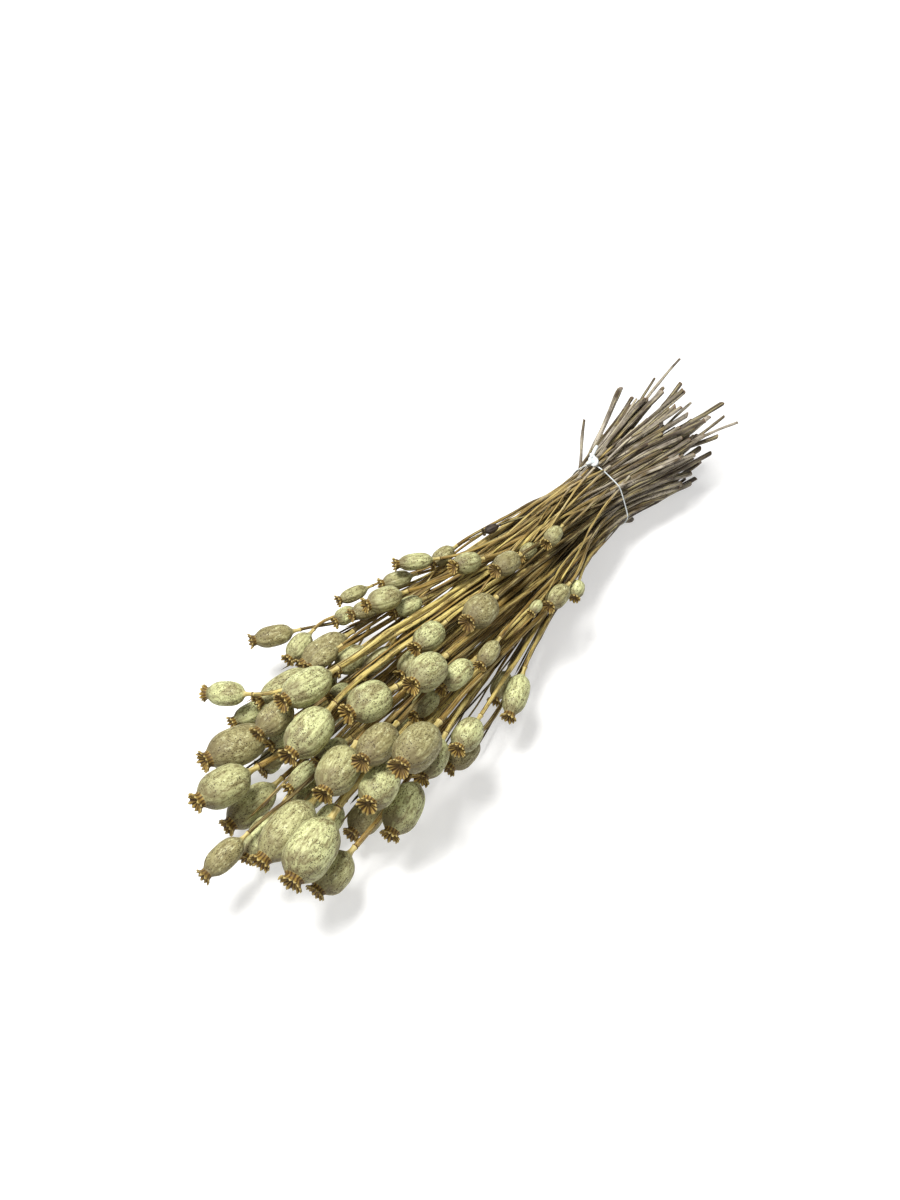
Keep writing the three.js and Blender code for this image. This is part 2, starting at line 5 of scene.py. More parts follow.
import bpy
import numpy as np
from mathutils import Matrix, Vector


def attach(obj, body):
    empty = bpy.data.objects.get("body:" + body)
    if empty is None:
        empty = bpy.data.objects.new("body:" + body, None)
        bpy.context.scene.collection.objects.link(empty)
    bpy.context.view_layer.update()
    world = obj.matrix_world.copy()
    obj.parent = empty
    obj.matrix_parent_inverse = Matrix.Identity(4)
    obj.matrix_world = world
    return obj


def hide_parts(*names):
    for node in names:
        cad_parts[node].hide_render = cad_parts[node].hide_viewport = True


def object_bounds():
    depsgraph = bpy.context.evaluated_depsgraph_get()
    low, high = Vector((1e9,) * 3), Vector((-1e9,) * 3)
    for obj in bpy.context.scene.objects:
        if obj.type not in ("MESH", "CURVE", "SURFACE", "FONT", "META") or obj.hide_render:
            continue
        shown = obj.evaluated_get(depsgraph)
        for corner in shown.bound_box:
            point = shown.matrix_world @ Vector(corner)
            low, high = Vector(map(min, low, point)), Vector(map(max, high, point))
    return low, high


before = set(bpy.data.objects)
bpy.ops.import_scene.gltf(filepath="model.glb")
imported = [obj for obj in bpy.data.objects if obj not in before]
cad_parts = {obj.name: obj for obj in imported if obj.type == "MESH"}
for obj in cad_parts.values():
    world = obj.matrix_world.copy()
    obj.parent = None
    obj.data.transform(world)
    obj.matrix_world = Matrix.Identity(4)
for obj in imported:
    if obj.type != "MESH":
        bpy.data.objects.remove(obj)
cad_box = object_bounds()

MM = 0.001
SEED = 41
BODY = "root"
BAND_NODE = "elastic_band"

# The photo's view: a pinhole camera above the heads, in pixels of a 900 x 1200 frame
VIEW_TURN = math.radians(48.8)
VIEW_PITCH = math.radians(58)
VIEW_FOCAL = 1400
FRAME_HEIGHT = 1200
SENSOR = 36
TIE_OFFSET = (149, 102)  # the tie, right of and above the frame's middle
TIE_DISTANCE = 1060 * MM

# How the nodes of the frame are made up
MERGE_DISTANCE = 0.002 * MM
DISH_DEPTH = 0.06  # from the crown's rim down to its middle, as a share of the head's length
LEAST_KNOT_GAP = 15 * MM  # between two rings of a stem that are used
COLLAR_START = -0.24  # last ring of the stem, as a share of the head's length past the neck
GIRTH_ROUND = 0.8  # radius of a round stem, as a share of the five-sided one's
WIDEST = (0.3, 0.46)  # between which shares of its length a head is widest
HEAD_ROUND = 0.955  # radius of a smooth capsule, as a share of the notched one's

# Fineness of the skins
STEM_STEP = 5 * MM
STEM_SIDES = 10
STEM_ROUGHNESS = 0.09
STEM_DRIFT = 0.5 * MM
STEM_FLUTES = ((3, 0.07), (4, 0.04))  # flutes round a stem, and their depth as a share of its radius
WEATHERED = (-230 * MM, 90 * MM)  # from the tie, where the stems begin and end to turn grey
NECK_SIDES = 24
RAY_COLUMNS = 6

# Outline of a head: share of its length past the neck, share of a radius
NECK_OUTLINE = [
    (-0.225, 1.02), (-0.212, 1.1), (-0.206, 1.24), (-0.198, 1.3), (-0.192, 1.17), (-0.186, 1.3),
    (-0.176, 1.26), (-0.155, 1.08), (-0.1, 1.02), (-0.05, 1.14), (-0.015, 1.4),
]
STEM_TOP = -0.21
CAPSULE_FOOT = 1.56
CAPSULE_OUTLINE = [
    (0.045, 0.42), (0.11, 0.68), (0.24, 0.91), (0.43, 1),
    (0.62, 0.985), (0.76, 0.85), (0.85, 0.62), (0.89, 0.49),
]
CAPSULE_RINGS = 20
RIB_SLIMNESS = (14 * MM, 5 * MM)  # radii of a wide head and of a slim one
CROWN_START = 0.905
CROWN_THROAT = 0.66  # radius of the crown's foot, as a share of the crown's
CROWN_MIDDLE = 0.945
CROWN_RINGS = 6
CROWN_EDGE = 0.3 * MM
RAY_NOTCHES = (0.15, 0.4)  # how far the gaps between rays cut in on a wide head, and on a slim one
RAY_SLIMNESS = (12 * MM, 6 * MM)
RAY_CURL = 0.014
RAY_FOLD = 0.018
RAY_FLARE = 0.3
RAY_WIDTH = 2.2 * MM  # a head has one more ray for each of these in its radius
RAY_LEAST = 8
RAY_COUNTS = (10, 16)
RAY_RIDGE = 0.7 * MM
BUD_RADIUS = 3.6 * MM  # a head thinner than this is a brown bud

# Extra stems inside the bunch
FILLER_COUNT = 190
FILLER_BUNDLES = 8
FILLER_RADII = (0.75 * MM, 1.5 * MM)
# Tones of the extra stems, darker than the other stems' range: painted shade inside the bunch
SHADED_FILLER_TONES = (0.55, 1.2)
FILLER_STEP = STEM_STEP * 1.4
FILLER_SIDES = 8
FILLER_STATION = 8 * MM
FILLER_SHORTEST = 60 * MM
FILLER_TAIL = (45 * MM, 112 * MM)
FILLER_TOUCH = 0.6 * MM  # how far a filler may press into its neighbours
FILLER_ROUNDS = 20
FILLER_SINK = (-0.3, 0.95)  # how far a filler lies down towards the floor on its way to the heads
FILLER_FALL = (20 * MM, 160 * MM)
PAIR_DISTANCE = 24 * MM
BUNCH_FAN = 0.2  # spread of the stems per length on both sides of the tie

# Thin stems that lie across the others
TWIG_COUNT = 14
TWIG_RADII = (0.7 * MM, 1.1 * MM)
TWIG_TONES = (0.1, 0.7)
TWIG_STARTS = (60 * MM, 150 * MM)
TWIG_ENDS = (-15 * MM, 60 * MM)
TWIG_TURN = 0.7  # furthest from the top of the bunch
TWIG_DRIFT = 0.45
TWIG_SHORTEST = 50 * MM
TOP_TWIG = (50 * MM, 9 * MM, -0.15, -0.8, 0.9 * MM)

# Extra heads inside the bunch
INNER_HEADS = 46
INNER_FIRST = 100  # number of the first one, past those of the frame's poppies
INNER_RADII = (5 * MM, 9.5 * MM)
INNER_LENGTH = 3.1  # length of such a head, in radii
INNER_DISTANCES = (18 * MM, 60 * MM)
INNER_CROWD = (5, 52 * MM)  # such a head has so many of the others within this distance in the view
INNER_GAP = math.radians(130)  # and they lie round it with no wider gap than this
INNER_DEPTH = 4 * MM
INNER_TOUCH = 1 * MM
INNER_SLOPE = 0.5  # its stem leaves the bunch's line by this much at most
INNER_RUN = 25 * MM
INNER_NECK = (0.5 * MM, 0.14)  # least radius, and what a head's radius adds to it
INNER_CROWN = (3 * MM, 0.34)  # likewise

# Elastic band
BAND_RADIUS = 0.48 * MM
BAND_POINTS = 240
BAND_SIDES = 12
BAND_ROUNDS = 24  # times that the loop is smoothed
KNOT_RADIUS = 1.4 * MM
KNOT_SCALE = 1.35 * MM
KNOT_LIFT = 3.4 * MM
KNOT_TURN = math.radians(25)  # from the solid knot's place towards the top
KNOT_TAILS = (8 * MM, 6 * MM)

# Floor and light: places in metres, sizes in metres, power in watts
FLOOR_HALF = 4.0
FLOOR_GLOW = 0.5
WORLD_LIGHT = 0.14
LAMPS = {"key": ((-0.2, 0.35, 1.6), 0.5, 42), "fill": ((-0.7, -0.6, 1.3), 0.9, 6)}

# Material numbers of a poppy
STEM, CAPSULE, CROWN = range(3)


def unit(vector):
    return vector / np.linalg.norm(vector)


def smooth_step(value, start, end):
    share = np.clip((value - start) / (end - start), 0, 1)
    return share * share * (3 - 2 * share)


# Reading the frame

def merged(node):
    """Points and triangles of a node, with the points that lie on each other merged."""
    mesh = node.data
    points = np.empty(len(mesh.vertices) * 3)
    mesh.vertices.foreach_get("co", points)
    points = points.reshape(-1, 3)
    mesh.calc_loop_triangles()
    corners = np.empty(len(mesh.loop_triangles) * 3, int)
    mesh.loop_triangles.foreach_get("vertices", corners)
    keys = np.round(points / MERGE_DISTANCE).astype(int)
    _, first, number = np.unique(keys, axis=0, return_index=True, return_inverse=True)
    return points[first], number.ravel()[corners].reshape(-1, 3)


def neighbours(count, triangles):
    near = [set() for _ in range(count)]
    for a, b, c in triangles.tolist():
        near[a] |= {b, c}
        near[b] |= {a, c}
        near[c] |= {a, b}
    return near


def read_poppy(node):
    """Head and stem of a node: neck, axis, length, radii, and the stem's rings from collar to cut end."""
    points, triangles = merged(node)
    near = neighbours(len(points), triangles)
    hub = max(range(len(points)), key=lambda i: len(near[i]))
    rim = points[sorted(near[hub])]
    rise = rim.mean(axis=0) - points[hub]
    axis = unit(rise)
    length = np.linalg.norm(rise) / DISH_DEPTH
    neck = points[hub] - axis * (1 - DISH_DEPTH) * length
    share = (points - neck) @ axis / length
    away = np.linalg.norm(points - neck - np.outer(share * length, axis), axis=1)
    spoke = rim - rim.mean(axis=0)
    crown_radius = np.linalg.norm(spoke, axis=1).max()
    first_ray = spoke[np.linalg.norm(spoke, axis=1).argmax()]
    knots, girths = read_stem(points, near, share)
    return {
        "name": node.name,
        "neck": neck,
        "axis": axis,
        "length": length,
        "radius": away[(share > WIDEST[0]) & (share < WIDEST[1])].max() * HEAD_ROUND,
        "crown_radius": crown_radius,
        "neck_radius": girths[0],
        "first_ray": unit(first_ray),
        "knots": knots,
        "girths": girths,
    }


def read_stem(points, near, share):
    """Middle and radius of each ring of a stem, from the collar to the cut end."""
    ring = {int(i) for i in np.flatnonzero(np.abs(share - COLLAR_START) < 0.012)}
    seen = {int(i) for i in np.flatnonzero(share > COLLAR_START)} | ring
    knots, girths = [], []
    while ring:
        spots = points[sorted(ring)]
        middle = spots.mean(axis=0)
        if not knots or np.linalg.norm(middle - knots[-1]) > LEAST_KNOT_GAP:
            knots.append(middle)
            girths.append(np.linalg.norm(spots - middle, axis=1).mean())
        elif len(ring) == 1:
            knots[-1] = middle
        ring = set().union(*(near[i] for i in ring)) - seen
        seen |= ring
    return np.array(knots), np.array(girths)


def read_tie(node):
    """Middle and radius of the ring round the stems, and the direction in which its knot lies."""
    points, _ = merged(node)
    low = points[points[:, 2] < points[:, 2].min() + 0.3 * MM]
    side = points[points[:, 1] < points[:, 1].min() + 0.3 * MM]
    middle = np.array([low[:, 0].mean(), low[:, 1].mean(), side[:, 2].mean()])
    radius = middle[2] - points[:, 2].min()
    away = np.linalg.norm((points - middle)[:, 1:], axis=1)
    knot = points[away > radius + 1.5 * MM].mean(axis=0) - middle
    return {"middle": middle, "radius": radius, "knot": unit(knot * (0, 1, 1))}


# Curves

def hermite(x, at, values, slopes):
    """Values at x of the smooth curve through the given values with the given slopes."""
    k = np.clip(np.searchsorted(at, x, side="right") - 1, 0, len(at) - 2)
    span = at[k + 1] - at[k]
    t = (x - at[k]) / span
    if values.ndim > 1:
        t, span = t[:, None], span[:, None]
    start, end = values[k], values[k + 1]
    lift = (t - 2 * t**2 + t**3) * slopes[k] - (t**2 - t**3) * slopes[k + 1]
    return start + (end - start) * (3 * t**2 - 2 * t**3) + span * lift


def outline(x, knots):
    """A smooth outline through (place, radius) knots that never overshoots them."""
    at, values = np.array(knots, float).T
    steps = np.diff(values) / np.diff(at)
    slopes = np.zeros(len(at))
    same = steps[:-1] * steps[1:] > 0
    slopes[1:-1][same] = 2 / (1 / steps[:-1][same] + 1 / steps[1:][same])
    slopes[0], slopes[-1] = steps[0], steps[-1]
    return hermite(np.asarray(x, float), at, values, slopes)


def lengths_along(path):
    """How far along a path each of its points lies."""
    return np.concatenate([[0], np.cumsum(np.linalg.norm(np.diff(path, axis=0), axis=1))])


def smooth_path(knots, girths, heading, step):
    """Points and radii about a step apart on a smooth curve through the knots."""
    at = lengths_along(knots)
    if len(at) > 2:
        slopes = np.gradient(knots, at, axis=0)
    else:
        slopes = np.repeat(np.diff(knots, axis=0) / at[1], 2, 0)
    slopes[0] = heading
    along = np.linspace(0, at[-1], max(4, round(at[-1] / step) + 1))
    return hermite(along, at, knots, slopes), np.interp(along, at, girths)


def carried_frames(path, first):
    """A pair of directions across the path at each point, carried along it without twisting."""
    tangents = np.gradient(path, axis=0)
    tangents /= np.linalg.norm(tangents, axis=1)[:, None]
    sides = []
    side = first
    for tangent in tangents:
        side = unit(side - tangent * (side @ tangent))
        sides.append(side)
    sides = np.array(sides)
    return tangents, sides, np.cross(tangents, sides)


def round_angles(count):
    return 2 * math.pi * np.arange(count) / count


def round_directions(across, over, angles):
    """Directions all round a path at each of its points."""
    return across[:, None] * np.cos(angles)[:, None] + over[:, None] * np.sin(angles)[:, None]


# Skins

class Skin:
    """Rings of points stitched to one closed skin, with a value of each attribute at every point."""

    ATTRIBUTES = ("share", "groove", "age")

    def __init__(self, random, closed=False):
        self.tone = random.uniform()
        self.offset = random.uniform(0, 9, 3)
        self.closed = closed
        self.rings = []
        self.kinds = []
        self.straight = []
        self.values = {name: [] for name in self.ATTRIBUTES}

    def add(self, points, straight, kind, **values):
        """One more ring, with its straightened place and the material of the faces that lead to it."""
        points = np.atleast_2d(points)
        self.rings.append(points)
        self.kinds.append(kind)
        self.straight.append(np.atleast_2d(straight))
        for name in self.ATTRIBUTES:
            self.values[name].append(np.broadcast_to(values.get(name, 0.0), len(points)))

    def faces(self, start):
        """Faces and their materials, with the points numbered from start."""
        starts = start + np.cumsum([0] + [len(ring) for ring in self.rings])
        numbers = [list(range(a, b)) for a, b in zip(starts, starts[1:])]
        if self.closed:
            numbers.append(numbers[0])
        faces, kinds = [], []
        for lower, upper, kind in zip(numbers, numbers[1:], self.kinds[1:] + self.kinds[:1]):
            band = stitched(lower, upper)
            faces += band
            kinds += [kind] * len(band)
        return faces, kinds


def linked(name, data):
    """A new object in the scene."""
    thing = bpy.data.objects.new(name, data)
    bpy.context.scene.collection.objects.link(thing)
    return thing


def build_piece(name, skins, materials):
    """One mesh object of one or more skins."""
    points = np.concatenate([ring for skin in skins for ring in skin.rings])
    points[:, 2] = np.maximum(points[:, 2], 0)
    sizes = [sum(len(ring) for ring in skin.rings) for skin in skins]
    faces, kinds = [], []
    for skin, start in zip(skins, np.cumsum([0] + sizes)):
        more_faces, more_kinds = skin.faces(int(start))
        faces += more_faces
        kinds += more_kinds
    mesh = bpy.data.meshes.new(name)
    mesh.from_pydata(points.tolist(), [], faces)
    for material in materials:
        mesh.materials.append(material)
    mesh.polygons.foreach_set("material_index", kinds)
    mesh.polygons.foreach_set("use_smooth", [True] * len(faces))
    straight = np.concatenate([place + skin.offset for skin in skins for place in skin.straight])
    set_values(mesh, "straight", "FLOAT_VECTOR", "vector", straight.ravel())
    set_values(mesh, "tone", "FLOAT", "value", np.repeat([skin.tone for skin in skins], sizes))
    for key in Skin.ATTRIBUTES:
        rows = [row for skin in skins for row in skin.values[key]]
        set_values(mesh, key, "FLOAT", "value", np.concatenate(rows))
    return linked(name, mesh)


def set_values(mesh, name, kind, field, values):
    layer = mesh.attributes.new(name, kind, "POINT")
    layer.data.foreach_set(field, np.asarray(values, np.float32))


def stitched(first, second):
    """Faces between two rings of point numbers that start at the same angle. A ring of one is a tip."""
    lower, upper = len(first), len(second)
    if lower == upper:
        turn = [(i, (i + 1) % lower) for i in range(lower)]
        return [(first[i], first[j], second[j], second[i]) for i, j in turn]
    faces = []
    i = j = 0
    while i < lower or j < upper:
        a, b = first[i % lower], second[j % upper]
        if j == upper or (i < lower and (i + 1) * upper <= (j + 1) * lower):
            i += 1
            if lower > 1:
                faces.append((a, first[i % lower], b))
        else:
            j += 1
            if upper > 1:
                faces.append((a, second[j % upper], b))
    return faces


# Stems

def wobble(along, random, size):
    """A slow, small sideways drift along a stem."""
    drift = np.zeros((len(along), 2))
    for length in (150 * MM, 65 * MM, 30 * MM):
        phase = random.uniform(0, 2 * math.pi, 2)
        drift += length / (150 * MM) * np.sin(2 * math.pi * along[:, None] / length + phase)
    return drift * size * smooth_step(along, 0, 40 * MM)[:, None]


def swellings(along, random):
    """Old leaf joints: short stretches where a stem is a little thicker."""
    girth = np.ones(len(along))
    for place in random.uniform(30 * MM, along[-1], 4):
        girth += random.uniform(0.08, 0.3) * np.exp(-(((along - place) / (3.5 * MM)) ** 2))
    return girth


def mirrored(rings):
    """The same rings counted the other way round, from the same first point."""
    return np.concatenate([rings[:, :1], rings[:, :0:-1]], axis=1)


def stem_rings(path, radii, first_side, random, sides=STEM_SIDES):
    """Rings of a fluted stem from head to cut end, each with its straightened place."""
    along = lengths_along(path)
    _, across, over = carried_frames(path, first_side)
    drift = wobble(along, random, STEM_DRIFT)
    middles = path + across * drift[:, :1] + over * drift[:, 1:]
    rough = np.convolve(random.normal(0, 1, len(along) + 2), (0.3, 0.4, 0.3), "valid")
    girths = radii * swellings(along, random) * (1 + STEM_ROUGHNESS * rough)
    angles = round_angles(sides)
    flutes = np.ones(sides)
    for waves, depth in STEM_FLUTES:
        flutes += depth * np.cos(waves * angles + random.uniform(0, 6))
    spread = round_directions(across, over, angles)
    points = middles[:, None] + spread * (girths[:, None] * flutes)[..., None]
    straight = np.empty_like(points)
    straight[..., 0] = girths[:, None] * np.cos(angles)
    straight[..., 1] = girths[:, None] * np.sin(angles)
    straight[..., 2] = along[:, None]
    return mirrored(points), mirrored(straight)


def weathering(points, tie):
    """From 0 among the heads to 1 at the cut ends."""
    return smooth_step(points[..., 0] - tie["middle"][0], *WEATHERED)


def add_stem(skin, points, straight, tie, random):
    """The stem from its cut end, a slanted cut with a sunken pith, to its last ring under the head."""
    end, inward = points[-1], unit(points[-2].mean(axis=0) - points[-1].mean(axis=0))
    middle = end.mean(axis=0)
    girth = np.linalg.norm(end - middle, axis=1).mean()
    lean = random.uniform(-0.5, 0.5, 2) @ np.array([end[0] - middle, end[len(end) // 4] - middle]) / girth
    slant = ((end - middle) @ lean)[:, None] * inward
    pith = middle + 0.55 * (end - middle) + 0.55 * slant + inward * 0.35 * girth
    skin.add(middle + inward * 0.6 * girth, straight[-1].mean(axis=0), STEM, age=1.3, groove=1)
    skin.add(pith, straight[-1] * (0.6, 0.6, 1), STEM, age=1.25, groove=0.6)
    skin.add(middle + 0.86 * (end - middle) + slant - inward * 0.1 * girth, straight[-1], STEM, age=1.15)
    skin.add(end + slant + inward * 0.15 * girth, straight[-1], STEM, age=1.05)
    for ring, place in zip(points[-2::-1], straight[-2::-1]):
        skin.add(ring, place, STEM, age=weathering(ring, tie))


# Heads

def crown_lobes(rays, random):
    """For each column of a crown: its angle, its place across its ray from -1 to 1, and the ray's form."""
    column = np.arange(rays * RAY_COLUMNS)
    place = (column % RAY_COLUMNS) / RAY_COLUMNS * 2 - 1
    ray = column // RAY_COLUMNS
    reach = random.uniform(0.9, 1.06, rays)
    curl = random.normal(0, 1, rays)
    lean = random.normal(0, 0.1, rays)
    pitch = 2 * math.pi / rays
    angle = (ray + place / 2) * pitch

    def shared(values):
        mixed = values[ray].copy()
        edge = place == -1
        mixed[edge] = (values[ray[edge]] + values[ray[edge] - 1]) / 2
        return mixed

    return {
        "angle": angle,
        "place": place,
        "reach": shared(reach),
        "curl": shared(curl),
        "lean": shared(lean) * pitch,
    }


def head_ring(poppy, share, radii, angles):
    """A ring of points round the head's axis."""
    across = poppy["first_ray"]
    over = np.cross(poppy["axis"], across)
    spread = np.outer(np.cos(angles), across) + np.outer(np.sin(angles), over)
    share = np.broadcast_to(share, len(angles))
    radii = np.broadcast_to(radii, len(angles))
    points = poppy["neck"] + np.outer(share * poppy["length"], poppy["axis"]) + spread * radii[:, None]
    straight = np.stack([radii * np.cos(angles), radii * np.sin(angles), share * poppy["length"]], axis=1)
    return points, straight


def add_neck(skin, poppy):
    angles = round_angles(NECK_SIDES)
    for share, girth in NECK_OUTLINE:
        kind = STEM if share < STEM_TOP else CAPSULE
        points, straight = head_ring(poppy, share, girth * poppy["neck_radius"] * GIRTH_ROUND, angles)
        skin.add(points, straight, kind, share=share)


def uneven(angles, share, random_terms):
    """Slow bulges and dents of a capsule, as a share of its radius."""
    lift = np.zeros(len(angles))
    for turns, waves, phase, climb, size in random_terms:
        lift += size * np.sin(turns * angles + phase) * np.sin(waves * share * math.pi + climb)
    return lift


def capsule_knots(poppy, random):
    """Outline of this capsule, its widest place a little nearer to one end than on the others."""
    radius, girth = poppy["radius"], poppy["neck_radius"] * GIRTH_ROUND
    shift = random.uniform(-0.04, 0.04)
    knots = [(NECK_OUTLINE[-1][0], NECK_OUTLINE[-1][1] * girth), (0, CAPSULE_FOOT * girth)]
    knots += [(share + shift * math.sin(share * math.pi), size * radius) for share, size in CAPSULE_OUTLINE]
    knots.append((CROWN_START + 0.03, CROWN_THROAT * poppy["crown_radius"]))
    return knots


def add_capsule(skin, poppy, lobes, random):
    knots = capsule_knots(poppy, random)
    shares = CROWN_START * (1 - np.cos(np.linspace(0, math.pi, CAPSULE_RINGS))) / 2
    slimness = smooth_step(poppy["radius"], *RIB_SLIMNESS)
    depth = random.uniform(0.6, 1.5) * (0.018 + 0.035 * slimness)
    terms = [
        (turns, random.uniform(0.6, 2.2), *random.uniform(0, 6, 2), random.uniform(0.004, 0.013))
        for turns in (1, 2, 2, 3, 5)
    ]
    valley = np.abs(lobes["place"]) ** 2.5
    for share, radius in zip(shares, outline(shares, knots)):
        ends = 0.7 + 0.9 * smooth_step(share, 0.5, 0.85) + 0.5 * smooth_step(share, 0.2, 0.03)
        rib = 1 - depth * ends * valley * smooth_step(share, 0, 0.08)
        bulge = uneven(lobes["angle"], share, terms) * smooth_step(share, 0.02, 0.2)
        points, straight = head_ring(poppy, share, radius * (rib + bulge), lobes["angle"])
        skin.add(points, straight, CAPSULE, share=share, groove=valley)


def add_crown(skin, poppy, lobes):
    """A crown of rays: their undersides from the throat to the edge, and their tops back to the middle."""
    radius, length, place = poppy["crown_radius"], poppy["length"], lobes["place"]
    slimness = smooth_step(poppy["radius"], *RAY_SLIMNESS)
    notch = RAY_NOTCHES[0] + (RAY_NOTCHES[1] - RAY_NOTCHES[0]) * slimness
    reach = lobes["reach"] * (1 - notch * np.abs(place) ** 3)
    fold = RAY_FOLD * (1 - place**2)

    def under(share):
        out = share * reach
        bend = np.minimum(out, 1) * math.pi / 2
        rise = CROWN_START + (1 - CROWN_START) * np.sin(bend)
        rise = rise + RAY_CURL * lobes["curl"] * out**3 + fold * out**2
        flare = RAY_FLARE * np.maximum(out - 1, 0)
        girth = radius * (CROWN_THROAT + (1 - CROWN_THROAT) * (1 - np.cos(bend)) + flare)
        return rise, girth, lobes["angle"] + lobes["lean"] * out**2

    gap = np.abs(place) ** 1.5
    for share in np.linspace(0, 1, CROWN_RINGS)[1:]:
        rise, girth, angle = under(share)
        points, straight = head_ring(poppy, rise, girth, angle)
        skin.add(points, straight, CROWN, share=share, groove=0.35 + 0.4 * gap - 0.3 * share)
    rise, girth, angle = under(1)
    rim = rise + CROWN_EDGE / length
    ridge = RAY_RIDGE / length * np.exp(-((place / 0.4) ** 2))
    for share in np.linspace(1, 0, CROWN_RINGS)[:-1]:
        height = CROWN_MIDDLE + (rim - CROWN_MIDDLE) * share**1.5 + ridge * smooth_step(share, 0.1, 0.45)
        points, straight = head_ring(poppy, height, girth * (share - 0.03 * (share == 1)), angle)
        skin.add(points, straight, CROWN, share=share, groove=gap * (1 - 0.25 * share**3), age=1)
    tip, straight = head_ring(poppy, CROWN_MIDDLE + 0.01, 0.0, np.zeros(1))
    skin.add(tip, straight, CROWN, share=0, groove=0.3)


def make_poppy(poppy, number, tie, materials):
    """The fine piece for one poppy, and the path and radii of its stem."""
    random = np.random.default_rng(SEED + number)
    path, radii = smooth_path(poppy["knots"], poppy["girths"] * GIRTH_ROUND, -poppy["axis"], STEM_STEP)
    points, straight = stem_rings(path, radii, poppy["first_ray"], random)
    rays = round(RAY_LEAST + poppy["radius"] / RAY_WIDTH + random.uniform(-0.9, 0.9))
    rays = int(np.clip(rays, *RAY_COUNTS))
    lobes = crown_lobes(rays, random)
    skin = Skin(random)
    if poppy["radius"] < BUD_RADIUS:
        skin.tone = 2
    add_stem(skin, points, straight, tie, random)
    add_neck(skin, poppy)
    add_capsule(skin, poppy, lobes, random)
    add_crown(skin, poppy, lobes)
    return build_piece(poppy["name"] + "_fine", [skin], materials), points.mean(axis=1), radii


# Extra stems

def on_stations(path, radii, x):
    """Sideways place, height and radius of a stem at each station, where it reaches that far."""
    order = np.argsort(path[:, 0])
    track = [np.interp(x, path[order, 0], row[order]) for row in (path[:, 1], path[:, 2], radii)]
    track = np.stack(track, axis=1)
    track[(x < path[:, 0].min()) | (x > path[:, 0].max())] = np.nan
    return track


def all_tracks(stems):
    """Stations along the bunch, and each stem's track over them."""
    x = np.arange(cad_box[0][0], cad_box[1][0], FILLER_STATION)
    return x, [on_stations(path, radii, x) for path, radii in stems]


def room_from_heads(spots, heads):
    """Least distance from each spot to the heads."""
    least = np.full(len(spots), np.inf)
    for head in heads:
        along = np.clip((spots - head["neck"]) @ head["axis"], 0, head["length"])
        nearest = head["neck"] + np.outer(along, head["axis"])
        least = np.fmin(least, np.linalg.norm(spots - nearest, axis=1) - head["radius"])
    return least


def stretch_round(free, index):
    """First and last index of the run of free stations round the given one."""
    blocked = np.flatnonzero(~free)
    before, after = blocked[blocked < index], blocked[blocked > index]
    return (before[-1] + 1 if len(before) else 0), (after[0] - 1 if len(after) else len(free) - 1)


def extended(track):
    """A track carried on straight to the stations past the stem's head."""
    first = np.flatnonzero(~np.isnan(track[:, 0]))[0]
    slope = (track[first + 3] - track[first]) / 3
    track = track.copy()
    track[:first] = track[first] - np.outer(np.arange(first, 0, -1), slope)
    return track


def settled(line, radius, others, middle, limit):
    """A line of places across the bunch, pushed clear of the others, smoothed and held in the bunch."""
    for _ in range(FILLER_ROUNDS):
        away = line - others[..., :2]
        gap = np.linalg.norm(away, axis=2)
        press = np.maximum(others[..., 2] + radius - gap, 0) / gap
        line = line + 0.5 * np.nansum(away * press[..., None], axis=0)
        line[1:-1] = (line[:-2] + 2 * line[1:-1] + line[2:]) / 4
        out = line - middle
        reach = np.linalg.norm(out, axis=1)
        line = middle + out * np.minimum(1, (limit - radius) / reach)[:, None]
        line[:, 1] = np.maximum(line[:, 1], radius)
    return line


